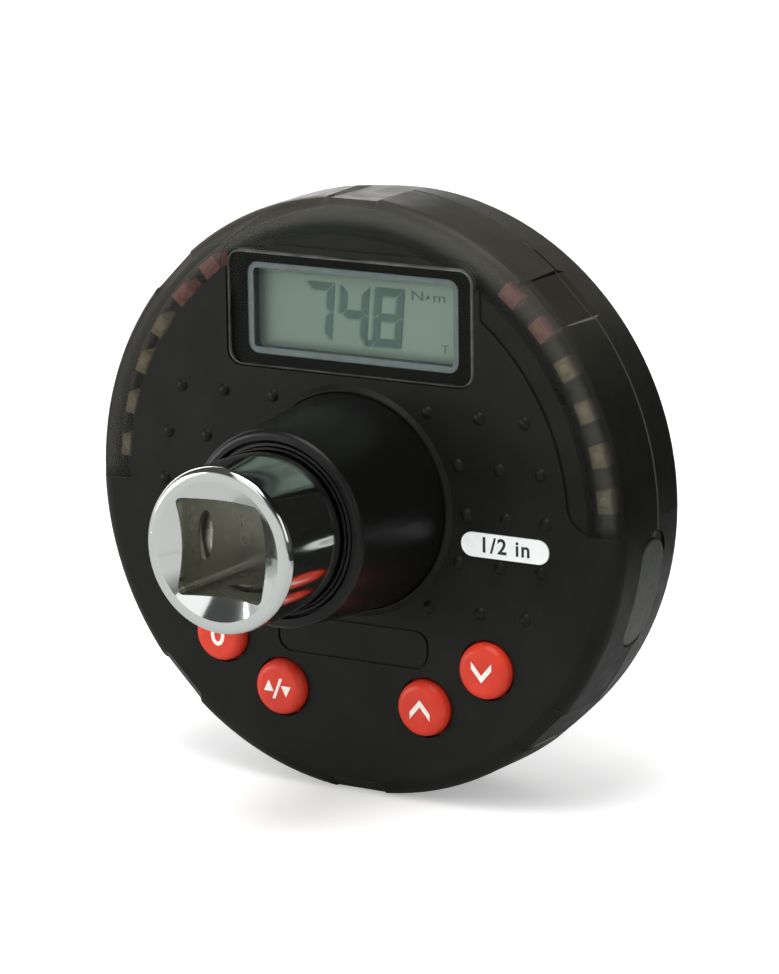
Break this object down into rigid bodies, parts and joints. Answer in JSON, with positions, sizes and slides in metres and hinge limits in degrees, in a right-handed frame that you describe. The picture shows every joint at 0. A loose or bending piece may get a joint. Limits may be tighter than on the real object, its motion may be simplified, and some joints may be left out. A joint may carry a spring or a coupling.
{
  "type": "digital torque adapter",
  "caption": "Round digital torque adapter: square drive shaft through a disc housing with a display, push buttons, side lights and battery bays.",
  "frame": {"origin": "centre of the female square's mouth, on the drive axis at the head's front face", "axes": "+Y along the drive axis from the female square to the male square, display faces -Y, +Z is the display's top"},
  "size_m": [0.0826, 0.0723, 0.0822],
  "materials": {
    "chrome": "bright plated steel",
    "sleeve_black": "satin black moulding",
    "cover_smoke": "smoky translucent satin moulding",
    "button_red": "satin orange red moulding",
    "window_clear": "clear hard-coated acrylic",
    "border_black": "black print on the back of the window",
    "lcd_glass": "grey green display",
    "lcd_frame": "grey moulding",
    "plate_white": "glossy white plate",
    "plug_grey": "smooth dark grey rubber",
    "seal_black": "black rubber",
    "steel": "plain steel",
    "screw_black": "black zinc screws",
    "bush_white": "natural acetal",
    "board_green": "solder mask on glass fibre",
    "chip_black": "moulded epoxy",
    "light_red": "red diffused epoxy",
    "light_amber": "amber diffused epoxy",
    "mask_black": "opaque black sheet",
    "cell_wrap": "plain wrapped cell",
    "ribbon": "polyimide film",
    "contact_nickel": "nickel plated spring steel"
  },
  "bodies": {
    "root": {"drive_shaft": "chrome", "detent_spring": "steel", "boss_sleeve": "sleeve_black", "sleeve_grub_screws": "screw_black", "front_seal": "seal_black", "front_cover": "cover_smoke", "rear_cover": "cover_smoke", "cover_gasket": "seal_black", "port_jack": "chip_black", "inner_mask": "mask_black", "display_window": "window_clear", "window_border": "border_black", "lcd_frame": "lcd_frame", "lcd_glass": "lcd_glass", "display_contact_strips": "seal_black", "label_plate": "plate_white", "main_board": "board_green", "board_screws": "steel", "red_lights": "light_red", "amber_lights": "light_amber", "circuit_chips": "chip_black", "buzzer": "chip_black", "tact_switches": "chip_black", "strain_gauges": "ribbon", "gauge_ribbon": "ribbon", "rear_bush": "bush_white", "retaining_ring": "screw_black", "cover_screws": "screw_black", "battery_cell_right": "cell_wrap", "battery_cell_left": "cell_wrap", "battery_springs": "contact_nickel", "battery_contact_plates": "contact_nickel"},
    "detent_ball": {"detent_ball": "steel"},
    "battery_door_right": {"battery_door_right": "cover_smoke", "door_screws_right": "screw_black"},
    "battery_door_left": {"battery_door_left": "cover_smoke", "door_screws_left": "screw_black"},
    "port_plug": {"port_plug": "plug_grey"},
    "button_clear": {"button_clear": "button_red", "switch_plunger_clear": "chip_black"},
    "button_units": {"button_units": "button_red", "switch_plunger_units": "chip_black"},
    "button_up": {"button_up": "button_red", "switch_plunger_up": "chip_black"},
    "button_down": {"button_down": "button_red", "switch_plunger_down": "chip_black"}
  },
  "joints": [
    {"name": "press_clear", "type": "slide", "parent": "root", "child": "button_clear", "axis": [0, 1, 0], "range_m": [0, 0.0006], "stiffness_N_per_m": 400, "springref_m": -0.001},
    {"name": "press_units", "type": "slide", "parent": "root", "child": "button_units", "axis": [0, 1, 0], "range_m": [0, 0.0006], "stiffness_N_per_m": 400, "springref_m": -0.001},
    {"name": "press_up", "type": "slide", "parent": "root", "child": "button_up", "axis": [0, 1, 0], "range_m": [0, 0.0006], "stiffness_N_per_m": 400, "springref_m": -0.001},
    {"name": "press_down", "type": "slide", "parent": "root", "child": "button_down", "axis": [0, 1, 0], "range_m": [0, 0.0006], "stiffness_N_per_m": 400, "springref_m": -0.001},
    {"name": "detent_press", "type": "slide", "parent": "root", "child": "detent_ball", "axis": [0, 0, -1], "range_m": [0, 0.0009], "stiffness_N_per_m": 500, "springref_m": -0.002, "deforming": ["detent_spring"]},
    {"name": "door_lift_right", "type": "slide", "parent": "root", "child": "battery_door_right", "axis": [0, 1, 0], "range_m": [0, 0.012]},
    {"name": "door_lift_left", "type": "slide", "parent": "root", "child": "battery_door_left", "axis": [0, 1, 0], "range_m": [0, 0.012]},
    {"name": "plug_pull", "type": "slide", "parent": "root", "child": "port_plug", "axis": [0.9707, 0, -0.2402], "range_m": [0, 0.008]}
  ]
}
